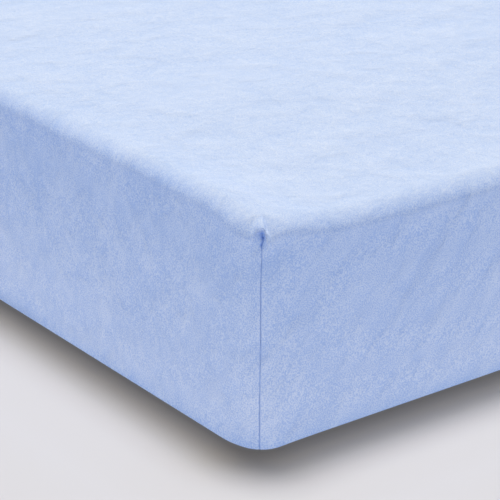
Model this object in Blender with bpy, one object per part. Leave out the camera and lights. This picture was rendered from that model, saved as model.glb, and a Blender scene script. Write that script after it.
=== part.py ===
"""Fitted sheet stretched over a plain mattress.

Units are metres and +Z is up. The origin is the centre of the footprint, on the surface the object rests on.
X runs across the mattress and Y along it.

The sheet is one shell of cloth: a top that slopes down a little towards the ends and is drawn down at the corners, a
soft shoulder, upright sides, a small bottom edge, and a band that goes under the mattress and ends in a turned hem.
Each corner has an upright seam with a pucker where the seam starts.
"""

import bpy
import bmesh
from math import cos, exp, pi, sin
from mathutils import Vector

# ---------------------------------------------------------------- driving dimensions
WIDTH = 0.900            # across, over the sheet
LENGTH = 2.000           # along, over the sheet
HEIGHT = 0.255           # surface below to the middle of the sheet's top

CORNER_R = 0.036         # plan radius of the four upright corners
SEAM_SHIFT = 0.007       # how far each seam lies from the middle of its corner, towards the end of the mattress
EDGE_R = 0.0022          # bottom edge
BULGE = 0.0025           # how far the middle of a side swells

CLOTH = 0.0015           # brushed cotton and the air in its nap
HEM_PLIES = 0.0026       # the turned hem, pressed
HEM_WIDTH = 0.022
BAND = 0.080             # how far the cloth goes in under the mattress
OPENING_R = 0.110        # corner radius of the opening underneath
OPENING_REACH = 0.165    # the columns this near a seam go round the opening's corner

GAP = 0.0003             # between the cloth and the mattress
MATTRESS_CORNER_EXTRA = 0.012    # the mattress is rounder than the sheet at its upright corners
MATTRESS_SHOULDER_EXTRA = 0.004  # and along its top edge
MATTRESS_EDGE_R = 0.012
MATTRESS_TOP_GAP = 0.0003       # the gap over its top is larger by this, as facets differ there

# Top edge: the radius of its roll at a seam, half way along an end and half way along a long side.
ROLL_AT_SEAM = 0.021
ROLL_AT_END = 0.020
ROLL_AT_SIDE = 0.019
SHOULDER_REACH = 0.075   # distance from a seam over which the roll takes its own radius

# Top: each seam draws its corner down, and the top slopes down towards each end.
SINK = 0.016
SINK_REACH = 0.050
END_DROP = 0.028
END_DROP_RUN = 0.340     # length of the slope
END_DROP_EASE = 0.25     # share of the slope's length over which it starts, and over which it ends
END_DROP_REACH = 0.070   # the slope grows over this distance in from a long side

# Seam: distance from the seam line, and how far the cloth stands out (+) or in (-) there.
#        across    seam      pucker
SEAM = (
    (0.0000, -0.0010, -0.0042),
    (0.0030, +0.0004, -0.0006),
    (0.0080, +0.0002, +0.0018),
    (0.0160, +0.0000, +0.0004),
    (0.0275, +0.0000, +0.0000),
)
# Pucker: share of the top edge's turn, and how much of the pucker is there.
#        turn   share
PUCKER = (
    (0.00, 0.00),
    (0.25, 0.30),
    (0.50, 1.00),
    (0.75, 0.85),
    (1.00, 0.25),
)

# Distances of the columns from a seam: those on a corner's arc, those of every side, and those of the sides' middles.
ARC_COLUMNS = (0.0, 0.0030, 0.0080, 0.0160, 0.0220, 0.0283)
SIDE_COLUMNS = (0.043, 0.065, 0.105, 0.165)
SHORT_COLUMNS = (0.270,)
LONG_COLUMNS = (0.235, 0.320, 0.600)

# Shares of the top edge's turn at its rows, and heights of the rows down the sides.
SHOULDER_ROWS = (0.00, 0.25, 0.50, 0.75, 1.00)
SIDE_ROWS = (0.175, 0.118, 0.060)
EDGE_STEPS = 2
BAND_STEPS = 2

SHEET_BLUE = (0.455, 0.575, 0.855, 1.0)
TICKING_WHITE = (0.760, 0.755, 0.730, 1.0)


CORNER_ARC = CORNER_R * pi / 4   # from the middle of a corner to the end of its arc, along the cloth


# ---------------------------------------------------------------- helpers
def table_value(table, x, column):
    """Straight-line reading of a table whose first column rises."""
    if x <= table[0][0]:
        return table[0][column]
    for low, high in zip(table, table[1:]):
        if x <= high[0]:
            share = (x - low[0]) / (high[0] - low[0])
            return low[column] + share * (high[column] - low[column])
    return table[-1][column]


def side_half(corner):
    """Distance along the cloth from the middle of a corner to the middle of the side that follows it."""
    run = WIDTH if corner % 2 == 0 else LENGTH
    return CORNER_ARC + run / 2 - BULGE - CORNER_R


def on_end(corner, s):
    """True on the two ends of the mattress, false on its long sides."""
    return (corner % 2 == 0) == (s > 0)


def beside_seam(corner, away):
    """Signed distance from the middle of a corner of the column that is this far, with its sign, from the seam."""
    towards_end = SEAM_SHIFT if corner % 2 == 0 else -SEAM_SHIFT
    return away + towards_end * max(0.0, 1.0 - abs(away) / CORNER_ARC)


def perimeter():
    """The columns around the mattress, anticlockwise from the (-X, -Y) seam, and which of them lie on the seams.

    Each column is (corner, signed distance from the middle of that corner, distance from its seam).
    """
    columns, seams = [], []
    for corner in range(4):
        following = (corner + 1) % 4
        steps = ARC_COLUMNS + SIDE_COLUMNS + (SHORT_COLUMNS if corner % 2 == 0 else LONG_COLUMNS)
        seams.append(len(columns))
        columns += [(corner, beside_seam(corner, away), away) for away in steps]
        columns += [(corner, side_half(corner), side_half(corner))]
        columns += [(following, beside_seam(following, -away), away) for away in reversed(steps[1:])]
    return columns, seams


def rounded_corner(corner, s, inset, radius, half_arc):
    """Point and outward normal on a rounded rectangle that lies inset inside the sheet's own outline.

    s is the signed distance from the middle of the corner, measured on the sheet's outline. The columns up to half_arc
    go round the rectangle's own arc, and the others keep their place along the side.
    """
    sx, sy = ((-1, -1), (1, -1), (1, 1), (-1, 1))[corner]
    centre = Vector((sx * (WIDTH / 2 - BULGE - inset - radius), sy * (LENGTH / 2 - BULGE - inset - radius)))
    share = max(-1.0, min(1.0, s / half_arc))
    angle = (1.25 + 0.5 * corner) * pi + share * pi / 4
    normal = Vector((cos(angle), sin(angle)))
    point = centre + radius * normal
    if abs(s) > half_arc:
        arc_end = CORNER_ARC + inset + radius - CORNER_R
        point += Vector((-normal.y, normal.x)) * (abs(s) - arc_end) * (1 if s > 0 else -1)
    return point, normal


def away_from_seam(s):
    """0 at a corner, rising to 1 along a side."""
    return 1.0 - exp(-((s / SHOULDER_REACH) ** 2))


def swell(s, z):
    """How far a side stands out at height z: nothing at a corner, most half way up and well away from it."""
    return BULGE * sin(pi * min(1.0, max(0.0, z / HEIGHT))) * away_from_seam(s)


def drawn_down(x, y, z):
    """The point with the top drawn down at each corner and towards each end, fading out down the sides."""
    across = max(WIDTH / 2 - BULGE - abs(x), 0.0)
    along = max(LENGTH / 2 - BULGE - abs(y), 0.0)
    corner = SINK * exp(-(across ** 2 + along ** 2) / SINK_REACH ** 2)
    t, ease = min(1.0, along / END_DROP_RUN), END_DROP_EASE
    if t < ease:
        run = t * t / (2 * ease)
    elif t < 1 - ease:
        run = t - ease / 2
    else:
        run = 1 - ease - (1 - t) ** 2 / (2 * ease)
    end = END_DROP * (1 - exp(-(across / END_DROP_REACH) ** 2)) * (1 - run / (1 - ease))
    share = max(0.0, min(1.0, (z - 0.02) / (HEIGHT - 0.02)))
    return (x, y, z - (corner + end) * share * share * (3 - 2 * share))


def profile(corner, s, depth, extra, edge_radius, floor):
    """The section through the cloth at one column, from the edge of the flat top to the bottom edge.

    The layer lies depth inside the cloth's outer face, and its top edge's radius is larger by extra. Rows are (inset
    from the outline, height, slope of the outward normal as (out, up), share of the top edge's turn).
    """
    middle = ROLL_AT_END if on_end(corner, s) else ROLL_AT_SIDE
    radius = ROLL_AT_SEAM + (middle - ROLL_AT_SEAM) * away_from_seam(s) + extra - depth
    top = HEIGHT - depth
    rows = []
    for turn in SHOULDER_ROWS:
        out, up = sin(turn * pi / 2), cos(turn * pi / 2)
        rows.append((depth + radius * (1 - out), top - radius * (1 - up), (out, up), turn))
    rows += [(depth, z, (1.0, 0.0), 1.0) for z in SIDE_ROWS]
    for k in range(EDGE_STEPS + 1):
        a = k / EDGE_STEPS * pi / 2
        rows.append((depth + edge_radius * (1 - cos(a)), floor + edge_radius * (1 - sin(a)), (cos(a), -sin(a)), 1.0))
    return rows


def seam_offset(away, turn, below_edge):
    """How far the cloth stands out of its smooth shape beside a seam."""
    if below_edge:
        return 0.0
    seam = table_value(SEAM, away, 1) * min(1.0, turn / 0.5)
    pucker = table_value(SEAM, away, 2) * table_value(PUCKER, turn, 1)
    return seam + pucker


def place(corner, s, radius, inset, z):
    """A point of a section: in from the outline by inset, and out by the side's swell."""
    point, normal = rounded_corner(corner, s, 0.0, radius, CORNER_ARC)
    return point + normal * (swell(s, z) - inset), normal


def ring(mesh, points):
    return [mesh.verts.new(p) for p in points]


def add_faces(mesh, corners, across, outwards):
    """Faces over four corners, split from the first to the third, or from the second to the fourth when across is true.

    Corners that are the same point leave one triangle.
    """
    a, b, c, d = corners
    for face in (((a, b, d), (b, c, d)) if across else ((a, b, c), (a, c, d))):
        if len(set(face)) == 3:
            mesh.faces.new(face if outwards else face[::-1])


def skin(mesh, upper, lower, outwards):
    """Faces between two closed rings, upper being the one nearer the top's centre. All layers' facets run alike."""
    columns, _ = perimeter()
    n = len(upper)
    for i in range(n):
        j = (i + 1) % n
        towards_middle = columns[j][2] > columns[i][2]
        add_faces(mesh, (upper[i], lower[i], lower[j], upper[j]), towards_middle, outwards)


def fill_top(mesh, edge, z, outwards):
    """A grid inside the ring at the top's edge, in line with the columns, and a fan round each corner."""
    _, seams = perimeter()
    n, arc = len(edge), len(ARC_COLUMNS) - 1
    xs = [edge[k].co.x for k in range(seams[0] + arc, seams[1] - arc + 1)]
    ys = [edge[k].co.y for k in range(seams[1] + arc, seams[2] - arc + 1)]
    grid = [[mesh.verts.new(drawn_down(x, y, z)) for y in ys] for x in xs]
    sides = ([row[0] for row in grid], grid[-1], [row[-1] for row in grid][::-1], grid[0][::-1])
    border = [None] * n
    for seam, side in zip(seams, sides):
        for k in range(-arc, arc):
            border[(seam + k) % n] = side[0]
        for k, node in enumerate(side[:-1]):
            border[seam + arc + k] = node
    skin(mesh, border, edge, outwards)
    for i in range(len(xs) - 1):
        for j in range(len(ys) - 1):
            across = (2 * i < len(xs) - 1) != (2 * j < len(ys) - 1)
            add_faces(mesh, (grid[i][j], grid[i + 1][j], grid[i + 1][j + 1], grid[i][j + 1]), across, outwards)


def add_object(name, mesh, colour, roughness):
    data = bpy.data.meshes.new(name)
    mesh.normal_update()
    mesh.to_mesh(data)
    mesh.free()
    data.shade_smooth()
    data.set_sharp_from_angle(angle=pi / 4)
    item = bpy.data.objects.new(name, data)
    bpy.context.scene.collection.objects.link(item)
    material = bpy.data.materials.new(name)
    material.use_nodes = True
    shader = material.node_tree.nodes["Principled BSDF"]
    shader.inputs["Base Color"].default_value = colour
    shader.inputs["Roughness"].default_value = roughness
    shader.inputs["Metallic"].default_value = 0.0
    data.materials.append(material)
    return item


# ---------------------------------------------------------------- the two pieces
def cloth_layer(mesh, depth):
    """The rings of one face of the cloth, from the top's edge to the bottom edge. depth 0 is the outer face."""
    columns, _ = perimeter()
    sections = [profile(corner, s, depth, 0.0, EDGE_R - depth, depth) for corner, s, _ in columns]
    rings = []
    for k in range(len(sections[0])):
        below_edge = k > len(SHOULDER_ROWS) + len(SIDE_ROWS)
        points = []
        for (corner, s, away), section in zip(columns, sections):
            inset, z, (out, up), turn = section[k]
            point, normal = place(corner, s, CORNER_R, inset, z)
            stand = seam_offset(away, turn, below_edge)
            points.append(drawn_down(point.x + normal.x * out * stand, point.y + normal.y * out * stand, z + up * stand))
        rings.append(ring(mesh, points))
    return rings


def band_points(share, z):
    """A ring of the band under the mattress: share 0 is the bottom edge and 1 the opening."""
    points = []
    for corner, s, _ in perimeter()[0]:
        start, _ = place(corner, s, CORNER_R, EDGE_R, 0.0)
        end, _ = rounded_corner(corner, s, BAND, OPENING_R, OPENING_REACH)
        point = start.lerp(end, share)
        points.append((point.x, point.y, z))
    return points


def make_sheet():
    mesh = bmesh.new()
    outer = cloth_layer(mesh, 0.0)
    inner = cloth_layer(mesh, CLOTH)
    hem_share = 1.0 - HEM_WIDTH / (BAND - EDGE_R)
    shares = [hem_share * k / BAND_STEPS for k in range(1, BAND_STEPS + 1)]
    outer += [ring(mesh, band_points(share, 0.0)) for share in shares + [1.0]]
    inner += [ring(mesh, band_points(share, CLOTH)) for share in shares]
    inner += [ring(mesh, band_points(hem_share + 0.03, HEM_PLIES)), ring(mesh, band_points(1.0, HEM_PLIES))]
    for rings, outwards in ((outer, True), (inner, False)):
        for upper, lower in zip(rings, rings[1:]):
            skin(mesh, upper, lower, outwards)
    skin(mesh, outer[-1], inner[-1], True)
    fill_top(mesh, outer[0], HEIGHT, True)
    fill_top(mesh, inner[0], HEIGHT - CLOTH, False)
    return add_object("fitted_sheet", mesh, SHEET_BLUE, 0.92)


def make_mattress():
    mesh = bmesh.new()
    depth = CLOTH + GAP
    floor = HEM_PLIES + GAP
    columns, _ = perimeter()
    radius = CORNER_R + MATTRESS_CORNER_EXTRA
    sections = [profile(corner, s, depth, MATTRESS_SHOULDER_EXTRA, MATTRESS_EDGE_R, floor) for corner, s, _ in columns]
    rings = []
    for k in range(len(sections[0])):
        points = []
        for (corner, s, _), section in zip(columns, sections):
            inset, z, (_, up), _ = section[k]
            z -= MATTRESS_TOP_GAP * max(0.0, up)
            point, _ = place(corner, s, radius, inset, z)
            points.append(drawn_down(point.x, point.y, z))
        rings.append(ring(mesh, points))
    for upper, lower in zip(rings, rings[1:]):
        skin(mesh, upper, lower, True)
    fill_top(mesh, rings[0], HEIGHT - depth - MATTRESS_TOP_GAP, True)
    mesh.faces.new(list(reversed(rings[-1])))
    return add_object("mattress", mesh, TICKING_WHITE, 0.85)


for old in list(bpy.data.objects):
    bpy.data.objects.remove(old, do_unlink=True)

make_sheet()
make_mattress()
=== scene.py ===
"""Fitted sheet stretched over a plain mattress: the fine cloth surface, its materials, floor, light and camera.

Metres, +Z up, the origin under the middle of the mattress. X runs across it and Y along it.
"""

import bpy
import math
import numpy as np
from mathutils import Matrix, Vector


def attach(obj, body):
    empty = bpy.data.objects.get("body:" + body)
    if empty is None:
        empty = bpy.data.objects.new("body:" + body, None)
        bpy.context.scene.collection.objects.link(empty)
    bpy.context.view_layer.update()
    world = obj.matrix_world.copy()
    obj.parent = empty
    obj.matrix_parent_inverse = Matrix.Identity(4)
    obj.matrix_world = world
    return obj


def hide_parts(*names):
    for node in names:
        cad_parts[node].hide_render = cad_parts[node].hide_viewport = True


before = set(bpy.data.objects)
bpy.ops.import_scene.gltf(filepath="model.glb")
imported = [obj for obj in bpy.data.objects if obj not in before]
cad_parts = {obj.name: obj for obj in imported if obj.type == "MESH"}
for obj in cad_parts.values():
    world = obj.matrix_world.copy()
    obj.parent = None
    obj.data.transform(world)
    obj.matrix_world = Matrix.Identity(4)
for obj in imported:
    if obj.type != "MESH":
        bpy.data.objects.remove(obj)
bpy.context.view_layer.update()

# ---------------------------------------------------------------- sizes of the sheet, as in its solid
WIDTH, LENGTH, HEIGHT = 0.900, 2.000, 0.255
CORNER_R = 0.036          # plan radius of the upright corners
SEAM_SHIFT = 0.007        # each seam lies this far from the middle of its corner, towards the end
EDGE_R = 0.0022           # bottom edge
BULGE = 0.0025            # how far the middle of a side swells
CLOTH = 0.0015
HEM_PLIES = 0.0026
HEM_WIDTH = 0.022
BAND = 0.080
OPENING_R = 0.110
OPENING_REACH = 0.165
GAP = 0.0003
MATTRESS_CORNER_EXTRA = 0.012
MATTRESS_SHOULDER_EXTRA = 0.004
MATTRESS_EDGE_R = 0.012

# Top edge: the radius of its roll at a seam, half way along an end and half way along a long side.
ROLL_AT_SEAM, ROLL_AT_END, ROLL_AT_SIDE = 0.021, 0.020, 0.019
SHOULDER_REACH = 0.075
CORNER_ARC = CORNER_R * math.pi / 4
SINK = 0.016              # how far a seam draws its corner of the top down
SINK_REACH = 0.050
END_DROP = 0.028          # how far the top slopes down towards each end
END_DROP_RUN = 0.340      # the length of the slope
END_DROP_REACH = 0.070    # it grows over this distance in from a long side

# Columns beside a seam, in millimetres from it; further on they are spaced evenly.
NEAR_COLUMNS = (0, .3, .6, .9, 1.25, 1.6, 2, 2.4, 2.8, 3.2, 3.6, 4, 4.5, 5, 5.6, 6.2, 7, 8, 9, 10, 11, 12, 13.2, 14.6,
                16.4, 18.6, 21.4, 24.8, 28.27, 33, 39, 46, 55, 66, 79, 94, 111, 129, 148, 168)
FAR_STEP = 0.0230
# Rows: shares of the top edge's turn, then distances down a side, the last of them stretched to fit.
EASE_ROWS = (0, .05, .10, .15, .20, .25, .30, .34, .38)
ROLL_STEP = 0.0165
SIDE_FINE = 0.0010
SIDE_FINE_TO = 0.0185
SIDE_ROWS_BELOW = 25

# The pucker, in millimetres. q is the distance down the cloth from its top, and x the distance from the seam, positive
# on the end of the mattress.
PUCKER_TURN = 56.5       # where it starts on the top edge's turn, in degrees
#       x     q of the lip
LIP = ((-12, 18.0), (-9.5, 12.0), (-8, 9.0), (-6.8, 6.0), (-5.4, 2.6), (-4, 1.2), (-2.5, 0.4), (-1, 0.05), (0, 0.0),
       (1.2, 0.1), (2.4, 0.7), (3.4, 1.9), (4.2, 4.0), (5, 7.5), (6.5, 13.0), (9, 20.0))
#         q    x on the left, x on the right
RIDGES = ((0, -4.0, 5.2), (3, -5.2, 7.2), (6, -6.8, 8.6), (10, -8.4, 10.1), (14, -9.8, 11.4), (18, -10.8, 12.6),
          (24, -12.0, 14.0))
#        q     x
SLIT = ((0.0, 2.5), (3.0, 3.2), (6.0, 3.5), (8.5, 3.0), (11.0, 2.3), (13.5, 1.2), (15.5, 0.5), (20.0, 0.2), (30, 0))
#             q    how far the seam wanders from its straight line
SEAM_WANDER = ((30, 1.0), (55, 0.0), (130, 0.0), (190, -0.9))
# The corner's foot isn't quite round in plan: how far it stands out (+) or in (-), and the height at which that ends.
#            mm     x    width
FOOT_SHAPE = ((-2.3, -19, 12), (1.2, 16, 26))
FOOT_TOP = 0.110


# ---------------------------------------------------------------- helpers
def smooth(x, low, high):
    """0 below low, 1 above high, eased between."""
    t = np.clip((x - low) / (high - low), 0.0, 1.0)
    return t * t * (3 - 2 * t)


def soft_noise(points, size, seed, waves=14):
    """A smooth random field, about -1 to 1, with lumps about size across."""
    rng = np.random.default_rng(seed)
    total = np.zeros(points.shape[:-1])
    for _ in range(waves):
        direction = rng.normal(size=3)
        direction /= np.linalg.norm(direction)
        length = size * rng.uniform(1.3, 3.0)
        total += np.sin(points @ direction * (2 * math.pi / length) + rng.uniform(0, 2 * math.pi))
    return total / math.sqrt(waves / 2) * 0.6


def away_from_seam(s):
    """0 at a corner, rising to 1 along a side."""
    return 1.0 - np.exp(-((s / SHOULDER_REACH) ** 2))


def side_half(corner):
    """Distance along the cloth from the middle of a corner to the middle of the side that follows it."""
    run = WIDTH if corner % 2 == 0 else LENGTH
    return CORNER_ARC + run / 2 - BULGE - CORNER_R


class Perimeter:
    """The columns round the mattress, anticlockwise from the (-X, -Y) seam, as arrays.

    s is the signed distance from the middle of the column's corner, and to_end the distance from its seam, positive on
    the end of the mattress and negative on its long side. starts are the four columns on the seams.
    """

    def __init__(self, near_mm, far_step):
        corner, s, away = [], [], []
        self.starts = []
        for c in range(4):
            half = side_half(c)
            near = np.array(near_mm) / 1000
            count = int(round((half - near[-1]) / far_step))
            steps = np.concatenate([near, near[-1] + (half - near[-1]) * np.arange(1, count) / count])
            following = (c + 1) % 4
            self.starts.append(len(corner))
            for d in steps:
                corner.append(c); s.append(self.beside(c, d)); away.append(d)
            corner.append(c); s.append(half); away.append(half)
            for d in steps[:0:-1]:
                corner.append(following); s.append(self.beside(following, -d)); away.append(-d)
        self.corner, self.s, away = map(np.array, (corner, s, away))
        self.to_end = np.where(self.corner % 2 == 0, away, -away)
        self.n = len(corner)

    @staticmethod
    def beside(corner, away):
        towards_end = SEAM_SHIFT if corner % 2 == 0 else -SEAM_SHIFT
        return away + towards_end * max(0.0, 1.0 - abs(away) / CORNER_ARC)


def rounded_corner(columns, inset, radius, half_arc):
    """Points and outward normals, in plan, on a rounded rectangle that lies inset inside the sheet's own outline."""
    signs = np.array(((-1, -1), (1, -1), (1, 1), (-1, 1)))[columns.corner]
    centre = signs * (np.array((WIDTH / 2, LENGTH / 2)) - BULGE - inset - radius)
    angle = (1.25 + 0.5 * columns.corner) * math.pi + np.clip(columns.s / half_arc, -1, 1) * math.pi / 4
    normal = np.stack([np.cos(angle), np.sin(angle)], -1)
    arc_end = CORNER_ARC + inset + radius - CORNER_R
    beyond = np.where(np.abs(columns.s) > half_arc, np.abs(columns.s) - arc_end, 0.0) * np.sign(columns.s)
    tangent = np.stack([-normal[:, 1], normal[:, 0]], -1)
    return centre + radius * normal + tangent * beyond[:, None], normal


def drawn_down(points):
    """The points with the top drawn down at each corner by its seam, and sloping down to each end."""
    across = np.maximum(WIDTH / 2 - BULGE - np.abs(points[..., 0]), 0.0)
    along = np.maximum(LENGTH / 2 - BULGE - np.abs(points[..., 1]), 0.0)
    corner = SINK * np.exp(-(across ** 2 + along ** 2) / SINK_REACH ** 2)
    t = np.clip(along / END_DROP_RUN, 0.0, 1.0)
    ease = 0.25
    slope = np.where(t < ease, t * t / (2 * ease), np.where(t > 1 - ease, 1 - ease - (1 - t) ** 2 / (2 * ease), t - ease / 2))
    end = END_DROP * (1 - np.exp(-(across / END_DROP_REACH) ** 2)) * (1 - slope / (1 - ease))
    points = points.copy()
    points[..., 2] -= (corner + end) * smooth(points[..., 2], 0.02, HEIGHT)
    return points


def shoulder(columns, turns, depth, extra):
    """The top edge's section at every column: inset and height for each turn. Arrays are (rows, columns)."""
    middle = np.where(columns.to_end > 0, ROLL_AT_END, ROLL_AT_SIDE)
    radius = ROLL_AT_SEAM + (middle - ROLL_AT_SEAM) * away_from_seam(columns.s) + extra - depth
    angle = np.array(turns)[:, None] * math.pi / 2
    return depth + radius * (1 - np.sin(angle)), HEIGHT - depth - radius * (1 - np.cos(angle))


def section_rows():
    """Turns of the top edge, shares of the side and angles round the bottom edge for the sheet's rows."""
    roll = np.arange(EASE_ROWS[-1] + ROLL_STEP, 1.0 - ROLL_STEP / 2, ROLL_STEP)
    turns = list(EASE_ROWS) + list(roll) + [1.0]
    fine = np.arange(SIDE_FINE, SIDE_FINE_TO, SIDE_FINE)
    side_length = HEIGHT - ROLL_AT_SEAM - EDGE_R
    rest = fine[-1] + (side_length - fine[-1]) * (np.arange(1, SIDE_ROWS_BELOW + 1) / SIDE_ROWS_BELOW) ** 1.25
    side = np.concatenate([fine, rest]) / side_length
    edge = np.array([0.33, 0.67, 1.0]) * math.pi / 2
    return turns, side, edge


def place(columns, radius, inset, z):
    """Points in from the outline by inset, and out by the side's swell."""
    point, normal = rounded_corner(columns, 0.0, radius, CORNER_ARC)
    swell = BULGE * np.sin(math.pi * np.clip(z / HEIGHT, 0, 1)) * away_from_seam(columns.s)
    for out_mm, middle, width in FOOT_SHAPE:
        swell = swell + out_mm / 1000 * bell(columns.to_end * 1000 - middle, width) * (1 - smooth(z, 0.015, FOOT_TOP))
    return np.concatenate([point + normal * (swell - inset)[:, None], z[:, None]], -1)


def wall(columns, radius, depth, extra, edge_radius, floor, rows):
    """The upright part of a layer, (rows, columns, 3), from the flat top's edge to the bottom edge."""
    turns, side, edge = rows
    full = np.ones(columns.n)
    insets, heights = shoulder(columns, turns, depth, extra)
    rings = [place(columns, radius, i, z) for i, z in zip(insets, heights)]
    high, low = heights[-1], floor + edge_radius
    rings += [place(columns, radius, depth * full, high + (low - high) * share) for share in side]
    rings += [place(columns, radius, (depth + edge_radius * (1 - math.cos(a))) * full,
                    (floor + edge_radius * (1 - math.sin(a))) * full) for a in edge]
    return np.array(rings)


def band(columns, shares, heights):
    """Rings of the cloth under the mattress: share 0 is the bottom edge and 1 the opening."""
    start = place(columns, CORNER_R, np.full(columns.n, EDGE_R), np.zeros(columns.n))[:, :2]
    end, _ = rounded_corner(columns, BAND, OPENING_R, OPENING_REACH)
    return np.array([np.concatenate([start + (end - start) * share, np.full((columns.n, 1), z)], -1)
                     for share, z in zip(shares, heights)])


def fill_ring(ring, starts):
    """A grid inside a closed ring, (across + 1, along + 1, 3), by blending its four sides."""
    a, b, c, d = starts
    near, right, far = ring[a:b + 1], ring[b:c + 1], ring[c:d + 1][::-1]
    left = np.concatenate([ring[d:], ring[:1]])[::-1]

    def shares(edge):
        length = np.concatenate([[0], np.cumsum(np.linalg.norm(np.diff(edge[:, :2], axis=0), axis=-1))])
        return length / length[-1]
    u, v = shares(near)[:, None, None], shares(right)[None, :, None]
    return ((1 - v) * near[:, None] + v * far[:, None] + (1 - u) * left[None] + u * right[None]
            - (1 - u) * (1 - v) * near[0] - u * (1 - v) * near[-1] - (1 - u) * v * far[0] - u * v * far[-1])


# ---------------------------------------------------------------- relief of the cloth beside a seam
def bell(value, width):
    return np.exp(-(value / width) ** 2)


def seam_relief(x, q):
    """Height of the cloth beside a seam, in metres, above its smooth shape, and how much painted shade it takes, 0 to
    1.
    """
    x = x - np.interp(q, *np.array(SEAM_WANDER).T)
    below = q - np.interp(x, *np.array(LIP).T)
    # the top's cloth comes out over the pucker as a lip, which narrows towards its edge
    wider = 0.55 * np.clip(-below, 0, 14)
    lip = np.where(below < 0, np.clip(1 + below / 22, 0, 1) ** 2.2, bell(below, 0.8)) \
        * np.where(x > 0, bell(x, 6.2 + wider), bell(x, 4.5 + wider))
    ridge_q, left, right = np.array(RIDGES).T
    ridge = 1.9 * bell(x - np.interp(q, ridge_q, right), 1.7) * smooth(q, 1, 4) * (1 - smooth(q, 16, 28)) \
        + 1.1 * bell(x - np.interp(q, ridge_q, left), 2.4) * smooth(q, 1, 5) * (1 - smooth(q, 9, 18))
    valley = bell(x, 5.5) * smooth(below, 0, 3) * (1 - 0.85 * smooth(q, 9, 24))
    # under the lip, deep against the right-hand fold and rising to the left
    from_fold = x - 2.4
    hollow = np.where(from_fold > 0, bell(from_fold, 1.5), bell(from_fold, 3.3)) * smooth(below, 0, 2) \
        * (1 - smooth(q, 6.5, 11.5))
    off = x - np.interp(q, *np.array(SLIT).T)
    slit = np.where(off > 0, bell(off, 0.9), bell(off, 1.5)) * smooth(q, 5, 8) * (1 - smooth(q, 15, 19))
    pocket = bell(x + 0.9, 1.2) * bell(q - 15.0, 1.5)
    # the seam: two rolled edges that meet
    roll = 1.3
    near = np.clip(roll - np.abs(x), 0, roll)
    groove = (roll - np.sqrt(roll ** 2 - near ** 2)) * smooth(q, 14, 18)
    edges = bell(np.abs(x) - 2.3, 1.1) * smooth(q, 16, 22)
    dip = 0.7 * bell(x + 5.7, 2.4) * bell(q - 21, 6.5) + 1.0 * bell(x + 13, 5.5) * bell(q - 31, 12.0)
    height = 8.8 * lip + ridge - 2.2 * valley - 3.6 * hollow - 3.0 * slit - 1.2 * pocket - 1.4 * groove + 0.25 * edges \
        - dip
    # painted shade: a darker, bluer colour is painted in the hollow, slit, pocket and seam groove, where shade falls
    painted_shade = np.clip(0.9 * hollow + slit + 0.8 * pocket + 1.4 * groove / roll, 0, 1)
    return height / 1000, painted_shade


def lowest_around(field, rows, columns):
    """Each value replaced by the lowest within so many rows and columns of it."""
    low = field.copy()
    for shift in range(-rows, rows + 1):
        low = np.minimum(low, np.roll(field, shift, 0))
    across = low.copy()
    for shift in range(-columns, columns + 1):
        across = np.minimum(across, np.roll(low, shift, 1))
    return across


# ---------------------------------------------------------------- meshes
def vertex_normals(points, faces):
    normals = np.zeros_like(points)
    a, b, c, d = (points[faces[:, k]] for k in range(4))
    face_normals = np.cross(c - a, d - b)
    for k in range(4):
        np.add.at(normals, faces[:, k], face_normals)
    return normals / np.maximum(np.linalg.norm(normals, axis=1, keepdims=True), 1e-12)


def ring_faces(count, n, first):
    """Quads between successive closed rings of n points, whose first point has index first. They face out."""
    i = np.arange(n)
    j = (i + 1) % n
    up = first + np.arange(count - 1)[:, None] * n
    return np.stack([up + i, up + n + i, up + n + j, up + j], -1).reshape(-1, 4)


def grid_faces(index):
    return np.stack([index[:-1, :-1], index[1:, :-1], index[1:, 1:], index[:-1, 1:]], -1).reshape(-1, 4)


def grid_index(shape, starts, n, first_ring, first_inner):
    """Indices of a filled ring's grid, whose edge is the ring's own points."""
    across, along = shape[0] - 1, shape[1] - 1
    index = np.zeros(shape[:2], int)
    a, b, c, d = starts
    index[1:-1, 1:-1] = first_inner + np.arange((across - 1) * (along - 1)).reshape(across - 1, along - 1)
    index[:, 0] = first_ring + np.arange(a, b + 1)
    index[-1, :] = first_ring + np.arange(b, c + 1)
    index[:, -1] = first_ring + np.arange(c, d + 1)[::-1]
    index[0, :] = first_ring + (np.arange(d, n + 1) % n)[::-1]
    return index


def add_mesh(name, points, faces):
    data = bpy.data.meshes.new(name)
    data.from_pydata(points.astype(float).tolist(), [], [list(map(int, f)) for f in faces])
    data.validate()
    data.shade_smooth()
    item = bpy.data.objects.new(name, data)
    bpy.context.scene.collection.objects.link(item)
    return item


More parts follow.
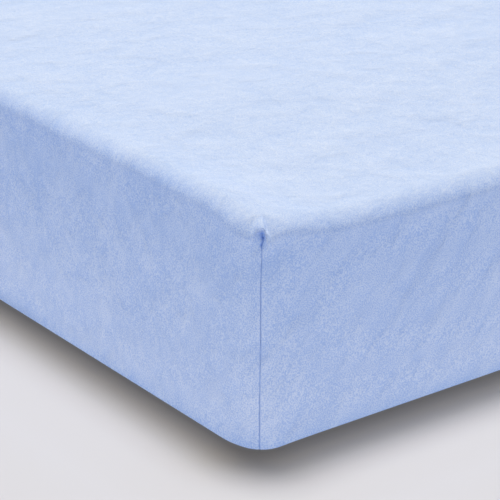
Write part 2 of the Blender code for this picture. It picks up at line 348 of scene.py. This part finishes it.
def make_sheet():
    """One closed shell of cloth: a fine outer face, and an inner face with every second row and column."""
    rows = section_rows()
    turns, side, edge = rows
    columns = Perimeter(NEAR_COLUMNS, FAR_STEP)
    n = columns.n
    hem = 1 - HEM_WIDTH / (BAND - EDGE_R)
    stitch = 0.0014 / (BAND - EDGE_R)
    shares = (hem * .25, hem * .5, hem * .75, hem - 3 * stitch, hem - stitch, hem, hem + stitch, hem + 3 * stitch,
              (1 + hem) / 2, 1 - stitch, 1.0)
    heights = (0, 0, 0, 0, 0, 0.0008, 0, 0, 0, 0, 0.0009)
    rings = np.concatenate([wall(columns, CORNER_R, 0.0, 0.0, EDGE_R, 0.0, rows), band(columns, shares, heights)])
    count = len(rings)
    last_side = len(turns) + len(side)
    first_band = last_side + len(edge)

    grid = fill_ring(rings[0], columns.starts)
    flat = drawn_down(np.concatenate([rings.reshape(-1, 3), grid[1:-1, 1:-1].reshape(-1, 3)]))
    index = grid_index(grid.shape, columns.starts, n, 0, count * n)
    faces = np.concatenate([ring_faces(count, n, 0), grid_faces(index)])
    normals = vertex_normals(flat, faces)

    step = np.linalg.norm(np.diff(rings[:, 0], axis=0), axis=-1)
    down = np.concatenate([[0], np.cumsum(step)]) * 1000
    q = np.repeat((down - ROLL_AT_SEAM * math.radians(PUCKER_TURN) * 1000)[:, None], n, 1)
    x = np.repeat(columns.to_end[None] * 1000, count, 0)
    row = np.arange(count)[:, None]
    relief, painted_shade = seam_relief(x, q)
    relief *= (np.abs(x) < 50) * smooth(row / 4.0, 0, 1) * np.clip(1 - (row - last_side + 1) / len(edge), 0, 1)
    painted_shade *= row <= last_side + 1

    lumps = 0.00030 * soft_noise(flat, 0.090, 3) + 0.00045 * soft_noise(flat, 0.210, 5)
    lumps[last_side * n:count * n] = 0.0
    outer = flat + normals * lumps[:, None]
    outer[:count * n] += normals[:count * n] * relief.ravel()[:, None]
    outer[:, 2] = np.maximum(outer[:, 2], 0.0)

    # the inner face: a little inside the smooth shape, and clear of the deepest relief near by
    lowest = np.minimum(lowest_around(relief, 3, 4), 0.0)
    lift = np.concatenate([lowest.ravel(), np.zeros(len(flat) - count * n)]) + lumps - CLOTH
    inner = flat + normals * lift[:, None]
    for k, z in enumerate((CLOTH,) * 4 + (CLOTH, CLOTH, HEM_PLIES) + (HEM_PLIES,) * 3 + (HEM_PLIES - 0.0007,)):
        ring = slice((first_band + k) * n, (first_band + k + 1) * n)
        inner[ring] = flat[ring]
        inner[ring, 2] = z
    keep_rows = [r for r in range(0, last_side, 2)] + list(range(last_side, first_band, 2)) + \
        [first_band + k for k in (1, 3, 6, 8, 10)]
    keep = np.arange(0, n, 2)
    inner_rings = inner[:count * n].reshape(count, n, 3)[keep_rows][:, keep]
    inner_grid = inner[index][::2, ::2]
    m, inner_count, first = n // 2, len(keep_rows), len(outer)
    inner_index = grid_index(inner_grid.shape, [c // 2 for c in columns.starts], m, first, first + inner_count * m)
    inner_faces = np.concatenate([ring_faces(inner_count, m, first), grid_faces(inner_index)])[:, ::-1]
    points = np.concatenate([outer, inner_rings.reshape(-1, 3), inner_grid[1:-1, 1:-1].reshape(-1, 3)])

    # the hem's edge joins them: each inner span takes two outer ones
    out_ring, in_ring = (count - 1) * n, first + (inner_count - 1) * m
    rim = []
    for k in range(m):
        a, b, c = out_ring + 2 * k, out_ring + 2 * k + 1, out_ring + (2 * k + 2) % n
        d, e = in_ring + k, in_ring + (k + 1) % m
        rim += [(a, d, b), (b, d, e), (b, e, c)]
    item = add_mesh("sheet", points, [list(f) for f in faces] + [list(f) for f in inner_faces] + rim)
    # painted shade in the pucker's hollows and the seam groove, kept on the points for the material
    painted_fold_shade = np.zeros(len(points))
    painted_fold_shade[:count * n] = painted_shade.ravel()
    item.data.attributes.new("painted_fold_shade", "FLOAT", "POINT").data.foreach_set("value", painted_fold_shade)
    return item


def make_mattress():
    """A plain filled block inside the sheet, a little rounder than it and drawn in under each pucker."""
    turns = (0, .02, .05, .09, .14, .2, .27, .35, .45, .55, .65, .75, .85, 1.0)
    side = np.linspace(0, 1, 17)[1:]
    edge = np.linspace(0, 1, 7)[1:] * math.pi / 2
    columns = Perimeter((0, 3, 6, 9, 12, 16, 20, 24, 28.27, 38, 50, 65, 84, 111, 142), 0.030)
    depth, floor = CLOTH + GAP + 0.0004, HEM_PLIES + GAP
    rings = wall(columns, CORNER_R + MATTRESS_CORNER_EXTRA, depth, MATTRESS_SHOULDER_EXTRA, MATTRESS_EDGE_R, floor,
                 (turns, side, edge))
    count, n = len(rings), columns.n
    top, bottom = fill_ring(rings[0], columns.starts), fill_ring(rings[-1], columns.starts)
    inner = (top.shape[0] - 2) * (top.shape[1] - 2)
    flat = np.concatenate([rings.reshape(-1, 3), top[1:-1, 1:-1].reshape(-1, 3), bottom[1:-1, 1:-1].reshape(-1, 3)])
    flat = drawn_down(flat)
    top_faces = grid_faces(grid_index(top.shape, columns.starts, n, 0, count * n))
    bottom_faces = grid_faces(grid_index(top.shape, columns.starts, n, (count - 1) * n, count * n + inner))[:, ::-1]
    faces = np.concatenate([ring_faces(count, n, 0), top_faces, bottom_faces])
    normals = vertex_normals(flat, faces)
    step = np.linalg.norm(np.diff(rings[:, 0], axis=0), axis=-1)
    down = np.concatenate([[0], np.cumsum(step)]) * 1000
    q = (down - ROLL_AT_SEAM * math.radians(PUCKER_TURN) * 1000)[:, None]
    under_pucker = 0.0100 * bell(columns.to_end[None] * 1000, 12) * bell(q - 8, 13)
    flat[:count * n] -= normals[:count * n] * under_pucker.reshape(-1, 1)
    return add_mesh("mattress_body", flat, faces)


# ---------------------------------------------------------------- materials
class Nodes:
    """Short ways to add and join a material's nodes."""

    def __init__(self, name):
        self.material = bpy.data.materials.new(name)
        self.material.use_nodes = True
        self.tree = self.material.node_tree
        self.shader = self.tree.nodes["Principled BSDF"]
        self.place = self.tree.nodes.new("ShaderNodeTexCoord").outputs["Object"]

    def link(self, a, b):
        self.tree.links.new(a, b)
        return b

    def scaled(self, scale, rotation=(0, 0, 0), kind="POINT"):
        node = self.tree.nodes.new("ShaderNodeMapping")
        node.vector_type = kind
        node.inputs["Scale"].default_value = scale
        node.inputs["Rotation"].default_value = rotation
        self.link(self.place, node.inputs["Vector"])
        return node.outputs["Vector"]

    def noise(self, size, detail=0.0, rough=0.5, distortion=0.0, vector=None):
        """Noise with lumps about size metres across."""
        node = self.tree.nodes.new("ShaderNodeTexNoise")
        node.inputs["Scale"].default_value = 0.6 / size
        node.inputs["Detail"].default_value = detail
        node.inputs["Roughness"].default_value = rough
        node.inputs["Distortion"].default_value = distortion
        self.link(vector or self.place, node.inputs["Vector"])
        return node.outputs["Fac"]

    def maths(self, operation, *values):
        node = self.tree.nodes.new("ShaderNodeMath")
        node.operation = operation
        for socket, value in zip(node.inputs, values):
            if isinstance(value, (int, float)):
                socket.default_value = value
            else:
                self.link(value, socket)
        return node.outputs[0]

    def vector(self, operation, a, b=None):
        node = self.tree.nodes.new("ShaderNodeVectorMath")
        node.operation = operation
        for socket, value in zip(node.inputs, (a, b)):
            if isinstance(value, tuple):
                socket.default_value = value
            elif value is not None:
                self.link(value, socket)
        return node.outputs["Value" if operation in ("LENGTH", "DOT_PRODUCT") else "Vector"]

    def spread(self, value, low, high, to_low=0.0, to_high=1.0, soft=True):
        node = self.tree.nodes.new("ShaderNodeMapRange")
        node.interpolation_type = "SMOOTHSTEP" if soft else "LINEAR"
        for key, number in (("From Min", low), ("From Max", high), ("To Min", to_low), ("To Max", to_high)):
            node.inputs[key].default_value = number
        self.link(value, node.inputs["Value"])
        return node.outputs["Result"]

    def mix(self, share, a, b):
        node = self.tree.nodes.new("ShaderNodeMix")
        node.data_type = "RGBA"
        for key, value in (("A", a), ("B", b)):
            socket = [i for i in node.inputs if i.name == key and i.type == "RGBA"][0]
            if isinstance(value, tuple):
                socket.default_value = (*value, 1.0)
            else:
                self.link(value, socket)
        self.link(share, [i for i in node.inputs if i.name == "Factor" and i.type == "VALUE"][0])
        return [o for o in node.outputs if o.type == "RGBA"][0]

    def ramp(self, value, stops):
        node = self.tree.nodes.new("ShaderNodeValToRGB")
        self.link(value, node.inputs["Fac"])
        fill_ramp(node.color_ramp, stops)
        return node.outputs["Color"]

    def bump(self, height, distance, strength=1.0):
        node = self.tree.nodes.new("ShaderNodeBump")
        node.inputs["Distance"].default_value = distance
        node.inputs["Strength"].default_value = strength
        self.link(height, node.inputs["Height"])
        return node.outputs["Normal"]

    def add(self, *terms):
        """Sum of (value, weight) pairs, each value taken about its middle of 0.5."""
        total = None
        for value, weight in terms:
            part = self.maths("MULTIPLY_ADD", value, weight, -0.5 * weight)
            total = part if total is None else self.maths("ADD", total, part)
        return total


def fill_ramp(ramp, stops):
    """Sets a colour ramp from (position, grey) or (position, (r, g, b)) stops."""
    for _ in stops[2:]:
        ramp.elements.new(0.5)
    for element, (position, _) in zip(ramp.elements, stops):
        element.position = position
    for element, (_, level) in zip(ramp.elements, stops):
        colour = level if isinstance(level, tuple) else (level,) * 3
        element.color = (*colour, 1.0)


#        lump size, weight in the tone of the top and of the sides, weight in the nap's relief
GRAIN = ((0.0008, 1.60, 3.30, 0.60),
         (0.0020, 0.42, 0.18, 0.30),
         (0.0050, 0.30, 0.40, 0.50),
         (0.0110, 0.30, 0.66, 0.65),
         (0.0260, 0.29, 0.48, 0.55),
         (0.0700, 0.20, 0.13, 0.40))
LIGHT_BLUE = (0.662, 0.722, 0.866)
DARK_BLUE = (0.418, 0.533, 0.790)
# the colour of the painted shade in the pucker's hollows and the seam groove
FOLD_SHADE_BLUE = (0.390, 0.530, 0.820)
NAP = 0.0030


def brushed_cotton():
    m = Nodes("brushed_cotton")
    # the wider lumps are drawn out along the nap, which leans over the sides
    leaning = m.scaled((1.0, 1.0, 2.2), (0, math.radians(37), 0), "TEXTURE")
    fields = [m.noise(size, 1.0, 0.5, 0.5 if size > 0.004 else 0.0, leaning if size > 0.001 else None)
              for size, _, _, _ in GRAIN]
    # the mottling is the cloth's own tone; its extra strength on the sides is painted shade of the nap's relief under
    # light from above
    geometry = m.tree.nodes.new("ShaderNodeNewGeometry")
    facing_up = m.vector("DOT_PRODUCT", geometry.outputs["Normal"], (0.0, 0.0, 1.0))
    top = m.add(*[(field, weight) for field, (_, weight, _, _) in zip(fields, GRAIN)])
    side = m.add(*[(field, weight) for field, (_, _, weight, _) in zip(fields, GRAIN)])
    share = m.spread(facing_up, 0.3, 0.9)
    tone = m.maths("ADD", m.maths("MULTIPLY", top, share), m.maths("MULTIPLY", side, m.maths("SUBTRACT", 1.0, share)))
    colour = m.mix(m.spread(tone, -0.5, 0.5, soft=False), DARK_BLUE, LIGHT_BLUE)
    # painted shade: the cloth turns darker and bluer where its points carry painted shade
    painted_fold_shade = m.tree.nodes.new("ShaderNodeAttribute")
    painted_fold_shade.attribute_name = "painted_fold_shade"
    m.link(m.mix(painted_fold_shade.outputs["Fac"], colour, FOLD_SHADE_BLUE), m.shader.inputs["Base Color"])
    m.shader.inputs["Roughness"].default_value = 0.95
    m.shader.inputs["Specular IOR Level"].default_value = 0.15
    nap = m.add(*[(field, weight * size / 0.01) for field, (size, _, _, weight) in zip(fields, GRAIN)])
    m.link(m.bump(nap, NAP), m.shader.inputs["Normal"])
    return m.material


def ticking():
    m = Nodes("ticking")
    weave = m.tree.nodes.new("ShaderNodeTexWave")
    weave.inputs["Scale"].default_value = 260
    weave.inputs["Distortion"].default_value = 1.5
    weave.inputs["Detail"].default_value = 1.0
    m.link(m.scaled((1, 1, 1), (0, 0, math.radians(35))), weave.inputs["Vector"])
    cloudy, threads = m.noise(0.05, 3.0), m.noise(0.0012, 2.0)
    tone = m.add((weave.outputs["Fac"], 0.4), (cloudy, 0.5), (threads, 0.5))
    m.link(m.mix(m.spread(tone, -0.4, 0.4, soft=False), (0.66, 0.65, 0.62), (0.82, 0.815, 0.79)),
           m.shader.inputs["Base Color"])
    m.shader.inputs["Roughness"].default_value = 0.9
    m.shader.inputs["Specular IOR Level"].default_value = 0.2
    m.link(m.bump(m.add((weave.outputs["Fac"], 0.7), (threads, 0.5)), 0.0004, 0.6), m.shader.inputs["Normal"])
    return m.material


# ---------------------------------------------------------------- build
cloth = make_sheet()
cloth.data.materials.append(brushed_cotton())
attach(cloth, "root")
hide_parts("fitted_sheet")

block = make_mattress()
block.data.materials.append(ticking())
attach(block, "root")
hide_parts("mattress")

# ---------------------------------------------------------------- floor, light and camera
FLOOR = (0.6370, 0.6218, 0.6530)
# The floor close to the object is painted darker and less blue, on the two sides that lie away from the keys: a painted
# contact shadow, which also takes out the blue light that the cloth throws on the shaded floor close by. The cloth
# throws blue light on the shaded floor close by, which the photo doesn't show, so the floor gives less back there, on
# the two sides that lie away from the keys.
#         distance from the object as a share of 0.15 m, and how much of each colour the floor gives back there
CONTACT_SHADOW_PAINT = ((0.0, (0.69, 0.57, 0.40)), (0.13, (0.86, 0.76, 0.59)), (0.24, (0.914, 0.854, 0.738)),
           (0.35, (0.955, 0.925, 0.862)), (0.45, (0.965, 0.943, 0.908)), (0.56, (0.972, 0.962, 0.942)),
           (0.80, (0.985, 0.98, 0.97)), (1.0, (1.0, 1.0, 1.0)))

floor = bpy.data.objects.new("floor", bpy.data.meshes.new("floor"))
floor.data.from_pydata([(-14, -14, -0.0006), (14, -14, -0.0006), (14, 14, -0.0006), (-14, 14, -0.0006)], [], [(0, 1, 2, 3)])
bpy.context.scene.collection.objects.link(floor)


def floor_with_painted_shadow():
    m = Nodes("floor_with_painted_shadow")
    corner = (WIDTH / 2 - CORNER_R, LENGTH / 2 - CORNER_R, 1.0)
    beyond = m.vector("MAXIMUM", m.vector("SUBTRACT", m.vector("ABSOLUTE", m.place), corner), (0.0, 0.0, 0.0))
    away = m.maths("DIVIDE", m.maths("SUBTRACT", m.vector("LENGTH", beyond), CORNER_R), 0.15)
    for axis, half in (((1.0, 0.0, 0.0), WIDTH / 2), ((0.0, 1.0, 0.0), LENGTH / 2)):
        lit = m.spread(m.vector("DOT_PRODUCT", m.place, axis), half - 0.10, half - 0.01)
        away = m.maths("ADD", away, lit)
    # painted shadow: the floor's colour darkens towards the object along the ramp
    m.link(m.vector("MULTIPLY", m.ramp(away, CONTACT_SHADOW_PAINT), FLOOR), m.shader.inputs["Base Color"])
    m.shader.inputs["Roughness"].default_value = 1.0
    m.shader.inputs["Specular IOR Level"].default_value = 0.0
    return m.material


floor.data.materials.append(floor_with_painted_shadow())
# The floor only shows and takes shadows: the light that it would throw up on the object comes from the dome's lower half.
floor.visible_diffuse = floor.visible_glossy = floor.visible_shadow = False

#        towards it            strength  angle across
KEYS = (((0.130, 0.305, 1.0), 1.80, 15.5),
        ((0.225, 0.180, 1.0), 1.26, 17.0))
for number, (towards, strength, angle) in enumerate(KEYS):
    key = bpy.data.objects.new(f"key_{number}", bpy.data.lights.new(f"key_{number}", "SUN"))
    key.data.energy = strength
    key.data.color = (1.0, 0.98, 0.90)
    key.data.angle = math.radians(angle)
    key.rotation_mode = "QUATERNION"
    key.rotation_quaternion = Vector(towards).to_track_quat("Z", "Y")
    bpy.context.scene.collection.objects.link(key)

# Low soft lights that face up beside each side, for the glow that a bright floor gives its lower part.
#        side (x, y)  strength
GLOWS = ((-1, 0, 0.43), (1, 0, 0.42), (0, -1, 0.39), (0, 1, 0.39))
GLOW_COLOUR, GLOW_WIDTH, GLOW_OFF = (1.0, 0.73, 0.38), 0.28, 0.010
for number, (sx, sy, strength) in enumerate(GLOWS):
    glow = bpy.data.objects.new(f"glow_{number}", bpy.data.lights.new(f"glow_{number}", "AREA"))
    glow.data.shape = "RECTANGLE"
    glow.data.size = GLOW_WIDTH if sx else WIDTH + 0.26
    glow.data.size_y = GLOW_WIDTH if sy else LENGTH + 0.26
    glow.data.energy = strength * math.pi * glow.data.size * glow.data.size_y
    glow.data.color = GLOW_COLOUR
    off = GLOW_OFF + GLOW_WIDTH / 2
    glow.location = (sx * (WIDTH / 2 + off), sy * (LENGTH / 2 + off), 0.0)
    glow.rotation_euler = (math.pi, 0, 0)
    glow.visible_camera = False
    bpy.context.scene.collection.objects.link(glow)

#        height on the dome from its bottom at 0 to its top at 1, and its light
DOME = ((0.0, (0.20, 0.22, 0.25)), (0.12, (0.25, 0.28, 0.33)), (0.30, (0.90, 1.07, 1.38)), (0.55, (0.90, 1.07, 1.38)),
        (0.64, (0.40, 0.47, 0.60)), (0.80, (0.26, 0.28, 0.33)), (0.92, (0.12, 0.12, 0.12)), (1.0, (0.11, 0.11, 0.11)))
world = bpy.data.worlds.new("studio")
bpy.context.scene.world = world
world.use_nodes = True
tree = world.node_tree
tree.nodes.clear()
out = tree.nodes.new("ShaderNodeOutputWorld")
where = tree.nodes.new("ShaderNodeTexCoord")
split = tree.nodes.new("ShaderNodeSeparateXYZ")
tree.links.new(where.outputs["Generated"], split.inputs[0])
height = tree.nodes.new("ShaderNodeMapRange")
height.inputs["From Min"].default_value = -1.0
tree.links.new(split.outputs["Z"], height.inputs["Value"])
ramp = tree.nodes.new("ShaderNodeValToRGB")
tree.links.new(height.outputs["Result"], ramp.inputs["Fac"])
fill_ramp(ramp.color_ramp, DOME)
soft = tree.nodes.new("ShaderNodeBackground")
tree.links.new(ramp.outputs["Color"], soft.inputs["Color"])
seen = tree.nodes.new("ShaderNodeBackground")
seen.inputs["Color"].default_value = (0.745, 0.730, 0.767, 1.0)
path = tree.nodes.new("ShaderNodeLightPath")
join = tree.nodes.new("ShaderNodeMixShader")
tree.links.new(path.outputs["Is Camera Ray"], join.inputs[0])
tree.links.new(soft.outputs[0], join.inputs[1])
tree.links.new(seen.outputs[0], join.inputs[2])
tree.links.new(join.outputs[0], out.inputs["Surface"])

camera = bpy.data.objects.new("camera", bpy.data.cameras.new("camera"))
camera.data.sensor_width = 36
camera.data.lens = 144.8
camera.data.clip_end = 60
camera.location = (-1.4928, -2.3988, 0.9118)
camera.rotation_euler = (math.radians(68.33), 0, math.radians(-36.68))
bpy.context.scene.collection.objects.link(camera)
bpy.context.scene.camera = camera
bpy.context.scene.view_settings.view_transform = "Standard"

bpy.context.view_layer.update()
